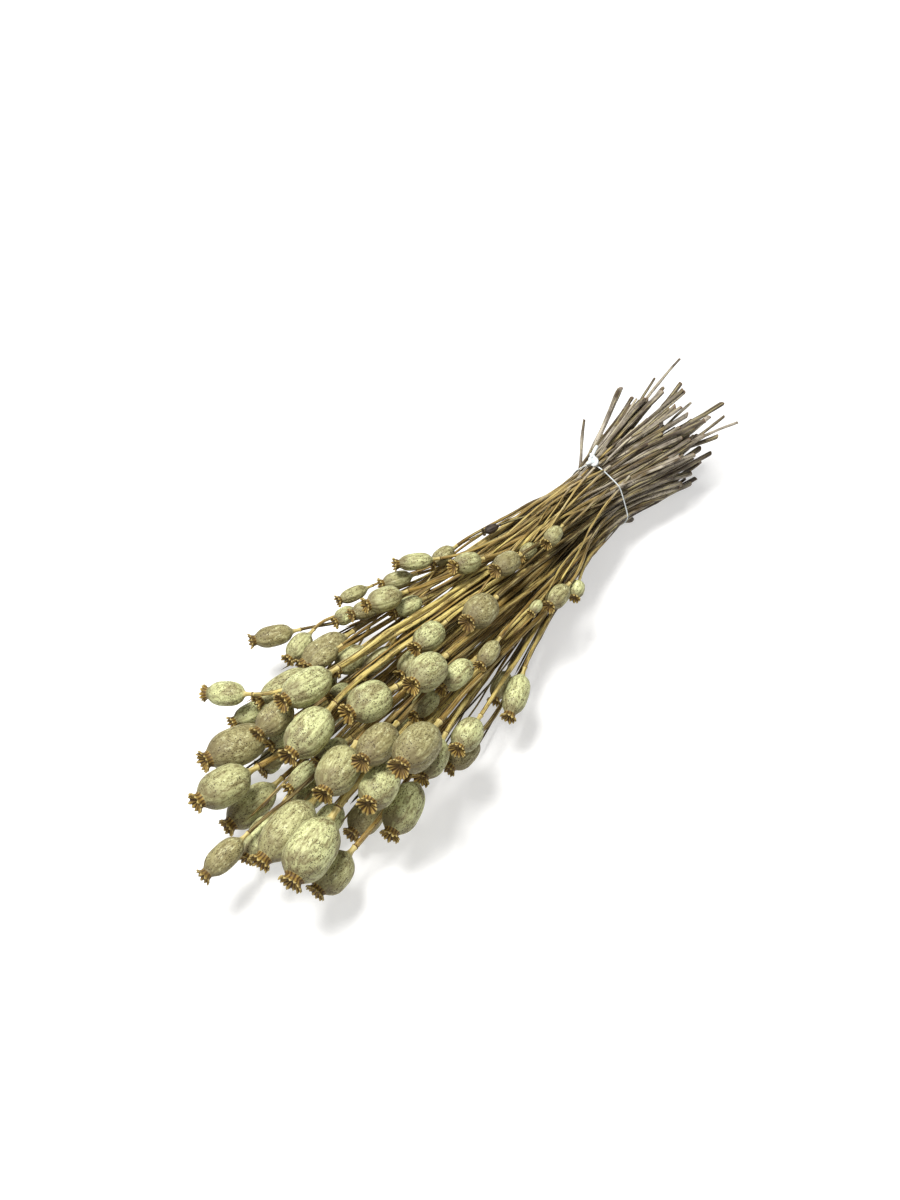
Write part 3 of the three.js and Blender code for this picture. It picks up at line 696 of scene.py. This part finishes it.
def lay_fillers(stems, heads, tie, random):
    """Paths and radii of extra stems, each laid between two neighbours where there is room."""
    x, tracks = all_tracks(stems)
    obstacles = []
    for head in heads:
        path = head["neck"] + np.outer(np.linspace(0, head["length"], 9), head["axis"])
        obstacles.append(on_stations(path, np.full(9, head["radius"]), x))
    at_tie = int(np.abs(x - tie["middle"][0]).argmin())
    limit = tie["radius"] + BUNCH_FAN * np.abs(x - x[at_tie])
    fall = smooth_step(x[at_tie] - x, *FILLER_FALL)
    spots = np.array([track[at_tie, :2] for track in tracks])
    apart = np.linalg.norm(spots[:, None] - spots, axis=2)
    pairs = np.argwhere(np.triu(apart < PAIR_DISTANCE, 1))
    fillers = []
    for number in random.permutation(len(pairs)):
        first, second = (tracks[k] for k in pairs[number])
        inside = ~np.isnan(first[:, 0] + second[:, 0])
        first, second = extended(first), extended(second)
        share = np.linspace(*random.uniform(-0.2, 1.2, 2), len(x))[:, None]
        line = (1 - share) * first[:, :2] + share * second[:, :2]
        line[:, 1] *= 1 - max(0, random.uniform(*FILLER_SINK)) * fall
        for k in np.flatnonzero(~inside[:at_tie]):
            inside[k] = is_under(np.array([x[k], *line[k]]), heads)
        start, end = stretch_round(inside, at_tie)
        end = min(end, at_tie + round(random.uniform(*FILLER_TAIL) / FILLER_STATION))
        part = slice(start, end + 1)
        radius = random.uniform(*FILLER_RADII)
        others = np.array(tracks)[:, part]
        in_the_way = np.array(tracks + obstacles)[:, part]
        line = settled(line[part], radius, in_the_way, tie["middle"][1:], limit[part])
        room = np.fmin.reduce(np.linalg.norm(line - others[..., :2], axis=2) - others[..., 2])
        path = np.column_stack([x[part], line])
        free = np.minimum(room, room_from_heads(path, heads)) > radius - FILLER_TOUCH
        if not free[at_tie - start]:
            continue
        first_free, last_free = stretch_round(free, at_tie - start)
        path = path[first_free:last_free + 1]
        if x[at_tie] - path[0, 0] < FILLER_SHORTEST or path[-1, 0] - x[at_tie] < FILLER_TAIL[0]:
            continue
        radii = radius * np.linspace(0.7, 1.15, len(path))
        fillers.append((path, radii))
        tracks.append(on_stations(path, radii, x))
        if len(fillers) == FILLER_COUNT:
            break
    return fillers


def resting(turn, radius, tracks, middle):
    """Path of a thin stem that rests on the others, at an angle from the bunch's top at each station."""
    way = np.column_stack([np.sin(turn), np.cos(turn)])
    away = tracks[..., :2] - middle
    beside = away[..., 0] * way[:, 1] - away[..., 1] * way[:, 0]
    lift = (tracks[..., 2] + radius) ** 2 - beside**2
    reach = np.where(lift > 0, (away * way).sum(axis=2) + np.sqrt(np.maximum(lift, 0)), np.nan)
    reach = np.nan_to_num(np.fmax.reduce(reach), nan=0.0)
    wide = np.pad(reach, 2, mode="edge")
    reach = np.max([wide[k:k + len(reach)] for k in range(5)], axis=0)
    for _ in range(4):
        reach[1:-1] = (reach[:-2] + 2 * reach[1:-1] + reach[2:]) / 4
    return middle + way * reach[:, None]


def lay_twigs(stems, heads, tie, random):
    """Paths and radii of thin stems that lie slanting over the outside of the bunch."""
    x, tracks = all_tracks(stems)
    middle = np.nanmean(np.array(tracks)[..., :2], axis=0)
    plans = [TOP_TWIG]
    for _ in range(TWIG_COUNT):
        turn = random.uniform(-TWIG_TURN, TWIG_TURN)
        drift = random.uniform(-TWIG_DRIFT, TWIG_DRIFT)
        ends = random.uniform(*TWIG_STARTS), random.uniform(*TWIG_ENDS)
        plans.append((*ends, turn - drift, turn + drift, random.uniform(*TWIG_RADII)))
    twigs = []
    for start, end, first_turn, last_turn, radius in plans:
        part = (x > tie["middle"][0] - start) & (x < tie["middle"][0] + end)
        turn = np.linspace(first_turn, last_turn, part.sum())
        path = np.column_stack([x[part], resting(turn, radius, np.array(tracks)[:, part], middle[part])])
        path[:, 2] = np.maximum(path[:, 2], radius)
        free = room_from_heads(path, heads) > radius
        first, last = stretch_round(free, len(path) - 2)
        path = path[first:last + 1]
        if len(path) * FILLER_STATION > TWIG_SHORTEST:
            twigs.append((path, radius * np.linspace(0.75, 1.1, len(path))))
            tracks.append(on_stations(*twigs[-1], x))
    return twigs


def make_fillers(fillers, tones, tie, materials, random, name, bundles):
    """Extra stems in a few bundles, with their tones between two limits."""
    pieces = []
    for bundle in range(bundles):
        skins = []
        for knots, girths in fillers[bundle::bundles]:
            path, radii = smooth_path(knots, girths, unit(knots[1] - knots[0]), FILLER_STEP)
            points, straight = stem_rings(path, radii, np.array([0, 0, 1.0]), random, FILLER_SIDES)
            skin = Skin(random)
            # For the extra stems inside the bunch these tones are darker than the rest, which paints shade
            # on them; the twigs keep ordinary tones
            skin.tone = tones[0] + (tones[1] - tones[0]) * skin.tone
            add_stem(skin, points, straight, tie, random)
            tip = points[0].mean(axis=0) * 2 - points[1].mean(axis=0)
            skin.add(tip, straight[0].mean(axis=0), STEM)
            skins.append(skin)
        pieces.append(build_piece(f"{name}_{bundle + 1}", skins, materials))
    return pieces


# Extra heads

def middle_of(head):
    return head["neck"] + 0.5 * head["length"] * head["axis"]


def is_clear(head, heads, spots, girths):
    """Whether a head has room among the other heads and the stems, and above the floor."""
    along = np.array([0.1, 0.4, 0.7, 0.97])
    width = np.array([0.6, 1, 0.9, 0.7]) * head["radius"] - INNER_TOUCH
    places = head["neck"] + np.outer(along * head["length"], head["axis"])
    room = np.linalg.norm(spots - places[:, None], axis=2) - girths
    room = np.minimum(room.min(axis=1), room_from_heads(places, heads))
    return bool((np.minimum(room, places[:, 2]) > width).all())


def is_under(spot, heads):
    """Whether a place has other heads all round it in the view and lies deeper than they do."""
    away = np.array([middle_of(head) - spot for head in heads]) @ np.column_stack(view_directions())
    away = away[np.hypot(away[:, 0], away[:, 1]) < INNER_CROWD[1]]
    if len(away) < INNER_CROWD[0] or away[:, 2].mean() > -INNER_DEPTH:
        return False
    angles = np.sort(np.arctan2(away[:, 1], away[:, 0]))
    return np.diff(np.append(angles, angles[0] + 2 * math.pi)).max() < INNER_GAP


def free_lane(head, lanes, heads):
    """Number of the extra stem that leads straightest to a head, and the part to use of it."""
    best = None
    for number, (path, radii) in enumerate(lanes):
        rest = path[:, 0] > head["neck"][0] + INNER_RUN
        way = path[rest][0] - head["neck"]
        slope = np.linalg.norm(way[1:]) / way[0]
        if slope > INNER_SLOPE or (best and best[0] < slope):
            continue
        steps = head["neck"] + np.outer(np.linspace(0.2, 1, 6), way)
        if room_from_heads(np.concatenate([steps, path[rest]]), heads).min() > 0.1 * MM:
            best = slope, number, (path[rest], radii[rest])
    return best and best[1:]


def cut_back(lane, heads):
    """An extra stem cut off behind the heads that are in its way."""
    path, radii = lane
    first, last = stretch_round(room_from_heads(path, heads) > radii - FILLER_TOUCH, len(path) - 5)
    return path[first:last + 1], radii[first:last + 1]


def lay_inner_heads(fillers, poppies, stems, random):
    """Heads in the hollows under the others, each on an extra stem, and the extra stems that are left."""
    spots = np.concatenate([path for path, _ in stems])
    girths = np.concatenate([radii for _, radii in stems])
    lanes, heads, inner = list(fillers), list(poppies), []
    pairs = [(a, b) for a in poppies for b in poppies if a["name"] < b["name"]]
    for number in random.permutation(len(pairs)):
        first, second = pairs[number]
        radius = random.uniform(*INNER_RADII)
        sink = random.uniform(0.2, 2) * (first["radius"] + second["radius"])
        apart = np.linalg.norm(middle_of(first) - middle_of(second))
        if not INNER_DISTANCES[0] < apart < INNER_DISTANCES[1] or len(inner) == INNER_HEADS:
            continue
        axis, length = unit(first["axis"] + second["axis"]), INNER_LENGTH * radius
        middle = (middle_of(first) + middle_of(second)) / 2 + sink * view_directions()[2]
        head = {"axis": axis, "length": length, "radius": radius, "neck": middle - 0.45 * length * axis}
        clear = is_under(middle, poppies) and is_clear(head, heads, spots, girths)
        best = clear and free_lane(head, lanes, heads)
        if not best:
            continue
        used, lane = best
        lanes.pop(used)
        spots = np.concatenate([spots, lane[0]])
        girths = np.concatenate([girths, lane[1]])
        heads.append(head)
        inner.append(grown(head, lane, f"inner_poppy_{len(inner) + 1:02d}"))
    return inner, [cut_back(lane, inner) for lane in lanes]


def grown(head, lane, name):
    """A poppy of a head and the extra stem that it is on."""
    neck_radius = INNER_NECK[0] + INNER_NECK[1] * head["radius"]
    collar = head["neck"] + COLLAR_START * head["length"] * head["axis"]
    across = unit(np.cross(head["axis"], (0.0, 0.0, 1.0)))
    return head | {
        "name": name,
        "crown_radius": INNER_CROWN[0] + INNER_CROWN[1] * head["radius"],
        "neck_radius": neck_radius,
        "first_ray": across,
        "knots": np.concatenate([[collar], lane[0]]),
        "girths": np.concatenate([[neck_radius], lane[1]]),
    }


# Elastic band

def band_loop(stems, tie):
    """A loop pulled tight round all the stems where they pass the tie."""
    x = tie["middle"][:1]
    tracks = np.concatenate([on_stations(path, radii, x) for path, radii in stems])
    tracks = tracks[~np.isnan(tracks[:, 0])]
    turn = np.linspace(0, 2 * math.pi, BAND_POINTS, endpoint=False)
    ways = np.column_stack([np.cos(turn), np.sin(turn)])
    outer = (tracks[:, :2] @ ways.T + tracks[:, 2:]).argmax(axis=0)
    spots = tracks[outer, :2] + ways * (tracks[outer, 2:] + BAND_RADIUS)
    spots = np.concatenate([spots, spots[:1]])
    along = lengths_along(spots)
    even = np.linspace(0, along[-1], BAND_POINTS, endpoint=False)
    loop = np.column_stack([np.interp(even, along, spots[:, k]) for k in (0, 1)])
    for _ in range(BAND_ROUNDS):
        loop = (np.roll(loop, 1, axis=0) + 2 * loop + np.roll(loop, -1, axis=0)) / 4
    return np.column_stack([np.full(BAND_POINTS, x[0]), loop])


def knot_path(loop, tie):
    """An overhand knot that lies on the band, with its two ends standing away from it."""
    along = np.array([1.0, 0, 0])
    out = tie["knot"] * math.cos(KNOT_TURN) + np.cross(along, tie["knot"]) * math.sin(KNOT_TURN)
    spot = loop[((loop - tie["middle"]) @ out).argmax()] + out * KNOT_LIFT
    side = np.cross(out, along)
    t = np.linspace(math.pi / 3 + 0.35, 7 * math.pi / 3 - 0.35, 60)
    curl = np.column_stack([np.sin(t) + 2 * np.sin(2 * t), np.cos(t) - 2 * np.cos(2 * t), -np.sin(3 * t)])
    curl = spot + KNOT_SCALE * (curl @ np.array([along, side, out]))
    tails = []
    for tip, inner, length, drift in ((0, 1, KNOT_TAILS[0], along), (-1, -2, KNOT_TAILS[1], -along)):
        way = unit(unit(curl[tip] - curl[inner]) + 0.9 * out)
        steps = np.linspace(0, 1, 9)[1:, None]
        tails.append(curl[tip] + length * steps * way + 0.3 * length * steps**2 * drift)
    return np.concatenate([tails[0][::-1], curl, tails[1]])


def tube(path, radius, random, closed=False):
    """A round elastic thread along a path."""
    if closed:
        path = np.concatenate([path[-1:], path, path[:1]])
    tangents, across, over = carried_frames(path, np.array([1.0, 0.02, 0.01]))
    angles = round_angles(BAND_SIDES)
    spread = round_directions(across, over, angles)
    along = lengths_along(path)
    skin = Skin(random, closed)
    rows = range(1, len(path) - 1) if closed else range(len(path))
    if not closed:
        skin.add(path[0] - tangents[0] * 0.4 * radius, (0, 0, 0), 0)
    for k in rows:
        girth = radius * (0.8 if not closed and k in (0, len(path) - 1) else 1)
        place = [radius * np.cos(angles), radius * np.sin(angles), np.full(BAND_SIDES, along[k])]
        skin.add(path[k] + spread[k] * girth, np.column_stack(place), 0)
    if not closed:
        skin.add(path[-1] + tangents[-1] * 0.4 * radius, (0, 0, along[-1]), 0)
    return skin


def make_band(stems, tie, random):
    loop = band_loop(stems, tie)
    skins = [tube(loop, BAND_RADIUS, random, closed=True), tube(knot_path(loop, tie), KNOT_RADIUS, random)]
    return build_piece("elastic_band_fine", skins, [elastic_material()])


# Materials

def tint(text):
    """Linear colour of an sRGB hex colour."""
    parts = [int(text[i:i + 2], 16) / 255 for i in (1, 3, 5)]
    return tuple(((p + 0.055) / 1.055) ** 2.4 if p > 0.04045 else p / 12.92 for p in parts) + (1,)


class Tree:
    """Short calls that add nodes to a material's tree."""

    def __init__(self, name):
        self.material = bpy.data.materials.new(name)
        self.material.use_nodes = True
        self.nodes = self.material.node_tree.nodes
        self.links = self.material.node_tree.links
        self.shader = self.nodes["Principled BSDF"]

    def feed(self, socket, value):
        if isinstance(value, bpy.types.NodeSocket):
            self.links.new(value, socket)
        else:
            socket.default_value = tint(value) if isinstance(value, str) else value

    def add(self, kind, inputs, **settings):
        node = self.nodes.new(kind)
        for key, value in settings.items():
            setattr(node, key, value)
        for key, value in inputs.items():
            self.feed(node.inputs[key], value)
        return node

    def number(self, name):
        return self.add("ShaderNodeAttribute", {}, attribute_name=name).outputs["Fac"]

    def place(self, stretch=(1, 1, 1)):
        spot = self.add("ShaderNodeAttribute", {}, attribute_name="straight").outputs["Vector"]
        return self.add("ShaderNodeVectorMath", {0: spot, 1: stretch}, operation="MULTIPLY").outputs[0]

    def noise(self, place, scale, detail=4, roughness=0.55, warp=0.0):
        inputs = {"Vector": place, "Scale": scale, "Detail": detail}
        inputs |= {"Roughness": roughness, "Distortion": warp}
        return self.add("ShaderNodeTexNoise", inputs).outputs["Fac"]

    def fade(self, value, start, end, low=0.0, high=1.0):
        inputs = {"Value": value, "From Min": start, "From Max": end, "To Min": low, "To Max": high}
        return self.add("ShaderNodeMapRange", inputs, interpolation_type="SMOOTHSTEP").outputs[0]

    def math(self, operation, a, b):
        return self.add("ShaderNodeMath", {0: a, 1: b}, operation=operation).outputs[0]

    def mix(self, share, a, b):
        return self.add("ShaderNodeMix", {0: share, 6: a, 7: b}, data_type="RGBA").outputs[2]

    def paint(self, below, above, value, *limits):
        """One colour laid over another where a value fades in."""
        return self.mix(self.fade(value, *limits), below, above)

    def specks(self, place, scale, size, amount):
        """Dots of uneven size on some of the cells of a pattern."""
        cells = self.add("ShaderNodeTexVoronoi", {"Vector": place, "Scale": scale})
        chance = self.add("ShaderNodeSeparateColor", {0: cells.outputs["Color"]}).outputs[0]
        dot = self.fade(cells.outputs["Distance"], size, 0.45 * size)
        return self.math("MULTIPLY", dot, self.fade(self.math("SUBTRACT", amount, chance), 0, 0.15))

    def finish(self, colour, roughness, height, depth, specular=0.35):
        bump = self.add("ShaderNodeBump", {"Height": height, "Strength": 1.0, "Distance": depth})
        self.feed(self.shader.inputs["Base Color"], colour)
        self.feed(self.shader.inputs["Roughness"], roughness)
        self.feed(self.shader.inputs["Normal"], bump.outputs[0])
        self.shader.inputs["Specular IOR Level"].default_value = specular
        return self.material


def capsule_material():
    tree = Tree("dry_capsule")
    place = tree.place()
    share, tone, groove = map(tree.number, ("share", "tone", "groove"))
    blotch = tree.noise(tree.place((1, 1, 0.5)), 130, 5, 0.6, 0.8)
    mottle = tree.noise(tree.place((1, 1, 0.45)), 560, 6, 0.72)
    streak = tree.noise(tree.place((1, 1, 0.1)), 800, 4, 0.6)
    colour = tree.paint("#c8cb92", "#989063", tone, 0.15, 0.95)
    colour = tree.paint(colour, "#877c55", blotch, 0.45, 0.66, 0, 0.8)
    colour = tree.paint(colour, "#675d36", mottle, 0.5, 0.64, 0, 0.8)
    colour = tree.paint(colour, "#e0e0ae", mottle, 0.46, 0.36, 0, 0.6)
    colour = tree.paint(colour, "#74683f", streak, 0.54, 0.68, 0, 0.45)
    broken = tree.fade(mottle, 0.35, 0.6, 0.2, 1)
    striped = tree.math("MULTIPLY", tree.fade(blotch, 0.35, 0.6, 0.1, 0.8), broken)
    colour = tree.mix(tree.math("MULTIPLY", tree.fade(groove, 0.2, 1), striped), colour, "#6a6039")
    # Darker grey-brown towards the crown end of the capsule, stronger where the blotches are
    crown_half_darker = tree.math("MULTIPLY", tree.fade(share, 0.52, 0.9), tree.fade(blotch, 0.3, 0.6, 0.4, 0.95))
    colour = tree.mix(crown_half_darker, colour, "#6d6242")
    amount = tree.fade(tree.noise(place, 90, 2), 0.32, 0.62, 0.1, 1)
    on_capsule = tree.fade(share, 0.03, 0.12)
    wide_dots = tree.specks(place, 620, 0.34, amount)
    dots = tree.math("MAXIMUM", wide_dots, tree.specks(place, 1100, 0.38, amount))
    colour = tree.mix(tree.math("MULTIPLY", dots, on_capsule), colour, "#33250f")
    cream = tree.paint("#c4b478", "#94803f", streak, 0.4, 0.65)
    colour = tree.paint(colour, cream, share, 0.06, -0.05)
    ring = tree.math("MULTIPLY", tree.fade(share, -0.183, -0.19), tree.fade(mottle, 0.3, 0.5, 0.6, 1))
    colour = tree.mix(ring, colour, "#553b1c")
    bud = tree.paint("#4b4036", "#231c16", mottle, 0.35, 0.65)
    colour = tree.paint(colour, bud, tone, 1.4, 1.6)
    height = tree.math("ADD", mottle, tree.math("MULTIPLY", streak, 0.8))
    return tree.finish(colour, tree.fade(mottle, 0.3, 0.7, 0.5, 0.74), height, 0.35 * MM)


def stem_material():
    tree = Tree("dry_stem")
    place = tree.place()
    age, tone, groove = map(tree.number, ("age", "tone", "groove"))
    fibre = tree.noise(tree.place((1, 1, 0.03)), 1500, 4, 0.6)
    patch = tree.noise(tree.place((0.5, 0.5, 0.35)), 80, 4, 0.6)
    blot = tree.noise(tree.place((1, 1, 0.3)), 300, 4, 0.65)
    grain = tree.noise(place, 900, 4, 0.65)
    gold = tree.paint("#ccb96c", "#957838", tone, 0, 0.6)
    gold = tree.paint(gold, "#6d5026", blot, 0.46, 0.62, 0, 0.7)
    # Tones past 1 come only from the extra stems inside the bunch, where these near-black browns and greys
    # are painted shade; below 1 the darker colours are a stem's own tone
    gold = tree.paint(gold, "#33280f", tone, 0.6, 1.2)
    brown = tree.paint("#a48b54", "#261c10", tone, 0, 1.2)
    pale = tree.paint("#bdb3a2", "#5d5347", tone, 0, 1.2)
    grey = tree.paint("#4d4136", pale, patch, 0.4, 0.6)
    weathered = tree.math("ADD", age, patch)
    colour = tree.paint(gold, brown, weathered, 0.7, 1.25)
    colour = tree.paint(colour, grey, weathered, 1.15, 1.42)
    colour = tree.paint(colour, "#352811", fibre, 0.5, 0.64, 0, 0.8)
    colour = tree.paint(colour, "#cfc488", fibre, 0.48, 0.36, 0, 0.5)
    dots = tree.specks(place, 700, 0.34, tree.fade(patch, 0.35, 0.65, 0.0, 0.7))
    colour = tree.mix(dots, colour, "#2b2016")
    colour = tree.paint(colour, "#7d583a", age, 1.02, 1.1)
    colour = tree.paint(colour, "#36251a", groove, 0.3, 0.9)
    height = tree.math("ADD", fibre, tree.math("MULTIPLY", grain, 0.4))
    return tree.finish(colour, tree.fade(grain, 0.3, 0.7, 0.5, 0.72), height, 0.35 * MM)


def crown_material():
    tree = Tree("dry_crown")
    place = tree.place()
    groove, tone, share, face = map(tree.number, ("groove", "tone", "share", "age"))
    grain = tree.noise(place, 700, 5, 0.65)
    patch = tree.noise(place, 220, 3)
    ridge = tree.paint("#a28641", "#725a28", patch, 0.35, 0.65)
    colour = tree.paint(ridge, "#bba665", share, 0.75, 1)
    colour = tree.paint(colour, "#452f0e", groove, 0.12, 0.6)
    deep = tree.math("MULTIPLY", face, tree.fade(share, 0.5, 0.15, 0, 0.85))
    colour = tree.mix(deep, colour, "#3c2b12")
    colour = tree.paint(colour, "#4c3618", grain, 0.5, 0.7, 0, 0.5)
    colour = tree.paint(colour, "#5c482a", tone, 0.5, 1, 0, 0.3)
    colour = tree.paint(colour, "#2e261d", tone, 1.4, 1.6, 0, 0.8)
    return tree.finish(colour, tree.fade(grain, 0.3, 0.7, 0.55, 0.8), grain, 0.25 * MM)


def elastic_material():
    tree = Tree("white_elastic")
    ribs = tree.noise(tree.place((1, 1, 1.6)), 1400, 2)
    wear = tree.noise(tree.place(), 160, 4)
    colour = tree.paint("#dde2e2", "#b6bdbd", wear, 0.4, 0.7)
    colour = tree.paint(colour, "#99a3aa", ribs, 0.5, 0.75, 0, 0.5)
    return tree.finish(colour, tree.fade(wear, 0.3, 0.7, 0.4, 0.6), ribs, 0.15 * MM)


def floor_material():
    tree = Tree("pale_floor")
    spot = tree.add("ShaderNodeTexCoord", {}).outputs["Object"]
    grain = tree.noise(spot, 60, 4)
    colour = tree.paint("#c4c3c1", "#c8c7c5", grain, 0.3, 0.7)
    tree.shader.inputs["Emission Color"].default_value = (1, 1, 1, 1)
    tree.shader.inputs["Emission Strength"].default_value = FLOOR_GLOW
    return tree.finish(colour, tree.fade(grain, 0.3, 0.7, 0.6, 0.7), grain, 0.02 * MM, 0.2)


# Floor, light and camera

def make_floor():
    corners = [(x * FLOOR_HALF, y * FLOOR_HALF, 0) for x, y in ((-1, -1), (1, -1), (1, 1), (-1, 1))]
    mesh = bpy.data.meshes.new("floor")
    mesh.from_pydata(corners, [], [(0, 1, 2, 3)])
    mesh.materials.append(floor_material())
    floor = linked("floor", mesh)


def view_directions():
    forward = np.array([
        math.sin(VIEW_TURN) * math.cos(VIEW_PITCH),
        math.cos(VIEW_TURN) * math.cos(VIEW_PITCH),
        -math.sin(VIEW_PITCH),
    ])
    right = np.array([math.cos(VIEW_TURN), -math.sin(VIEW_TURN), 0])
    return right, np.cross(right, forward), forward


def facing(spot, right, up, forward):
    """Matrix of a camera or lamp at a spot, looking forward."""
    matrix = np.eye(4)
    matrix[:3, 0], matrix[:3, 1], matrix[:3, 2], matrix[:3, 3] = right, up, -forward, spot
    return Matrix(matrix.tolist())


def make_camera(tie):
    right, up, forward = view_directions()
    data = bpy.data.cameras.new("camera")
    data.sensor_width = SENSOR
    data.lens = SENSOR * VIEW_FOCAL / FRAME_HEIGHT
    camera = linked("camera", data)
    offset = forward + right * TIE_OFFSET[0] / VIEW_FOCAL + up * TIE_OFFSET[1] / VIEW_FOCAL
    camera.matrix_world = facing(tie["middle"] - TIE_DISTANCE * offset, right, up, forward)
    bpy.context.scene.camera = camera


def make_lamp(name, spot, size, power):
    forward = unit(-np.array(spot))
    right = unit(np.cross(forward, (0, 0, 1)))
    data = bpy.data.lights.new(name, "AREA")
    data.size = size
    data.energy = power
    linked(name, data).matrix_world = facing(spot, right, np.cross(right, forward), forward)


def make_light():
    world = bpy.data.worlds.new("studio")
    world.use_nodes = True
    background = world.node_tree.nodes["Background"]
    background.inputs["Color"].default_value = (1, 1, 1, 1)
    background.inputs["Strength"].default_value = WORLD_LIGHT
    bpy.context.scene.world = world
    for name, (spot, size, power) in LAMPS.items():
        make_lamp(name, spot, size, power)
    bpy.context.scene.view_settings.view_transform = "Standard"


# The whole scene

tie = read_tie(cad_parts[BAND_NODE])
plant_materials = [stem_material(), capsule_material(), crown_material()]
make_floor()
make_camera(tie)
make_light()

poppies = [read_poppy(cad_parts[name]) for name in sorted(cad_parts) if name != BAND_NODE]
stems = []
for number, poppy in enumerate(poppies):
    piece, path, radii = make_poppy(poppy, number, tie, plant_materials)
    stems.append((path, radii))
    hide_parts(poppy["name"])
    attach(piece, BODY)

random = np.random.default_rng(SEED - 1)
fillers = lay_fillers(stems, poppies, tie, random)
inner_poppies, bare_stems = lay_inner_heads(fillers, poppies, stems, random)
twigs = lay_twigs(stems + fillers, poppies + inner_poppies, tie, random)
# The inner stems get the darker tones: painted shade inside the bunch
pieces = make_fillers(bare_stems, SHADED_FILLER_TONES, tie, plant_materials, random, "inner_stems", FILLER_BUNDLES)
pieces += make_fillers(twigs, TWIG_TONES, tie, plant_materials, random, "twigs", 1)
for number, poppy in enumerate(inner_poppies):
    pieces.append(make_poppy(poppy, INNER_FIRST + number, tie, plant_materials)[0])
for piece in pieces:
    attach(piece, BODY)

band = make_band(stems + fillers + twigs, tie, random)
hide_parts(BAND_NODE)
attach(band, BODY)
